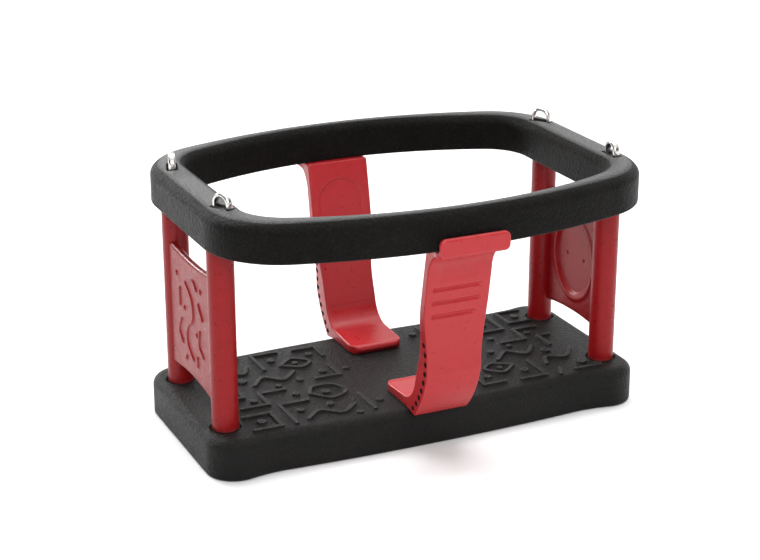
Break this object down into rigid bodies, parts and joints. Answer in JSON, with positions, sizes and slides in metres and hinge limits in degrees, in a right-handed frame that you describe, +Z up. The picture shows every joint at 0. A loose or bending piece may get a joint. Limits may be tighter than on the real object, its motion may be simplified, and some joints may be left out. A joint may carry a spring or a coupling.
{
  "type": "cradle swing seat",
  "caption": "Rubber cradle swing seat for toddlers: a flat base, a top ring, two end panels and two leg straps.",
  "frame": {"origin": "middle of the footprint, on the underside of the base", "axes": "+X along the length of the seat, -Y towards the front, +Z up"},
  "size_m": [0.44, 0.3296, 0.2603],
  "materials": {
    "black_rubber": "matte",
    "red_plastic": "satin",
    "red_rubber": "matte",
    "polished_steel": "polished",
    "zinc_steel": "satin"
  },
  "bodies": {
    "root": {"back_leg_strap": "red_rubber", "base_insert_plate": "zinc_steel", "base_seat_rubber": "black_rubber", "chain_eyelet_back_left": "polished_steel", "chain_eyelet_back_right": "polished_steel", "chain_eyelet_front_left": "polished_steel", "chain_eyelet_front_right": "polished_steel", "front_leg_strap": "red_rubber", "left_side_panel": "red_plastic", "post_sleeve_back_left": "zinc_steel", "post_sleeve_back_right": "zinc_steel", "post_sleeve_front_left": "zinc_steel", "post_sleeve_front_right": "zinc_steel", "right_side_panel": "red_plastic", "ring_weld_bosses": "zinc_steel", "strap_foot_inserts": "zinc_steel", "strap_foot_screws": "zinc_steel", "strap_foot_washers": "zinc_steel", "strap_head_nuts": "zinc_steel", "strap_head_screws": "zinc_steel", "tie_bolt_back_left": "zinc_steel", "tie_bolt_back_right": "zinc_steel", "tie_bolt_front_left": "zinc_steel", "tie_bolt_front_right": "zinc_steel", "tie_bolt_washers": "zinc_steel", "top_ring_insert": "zinc_steel", "top_ring_rubber": "black_rubber"}
  },
  "joints": []
}
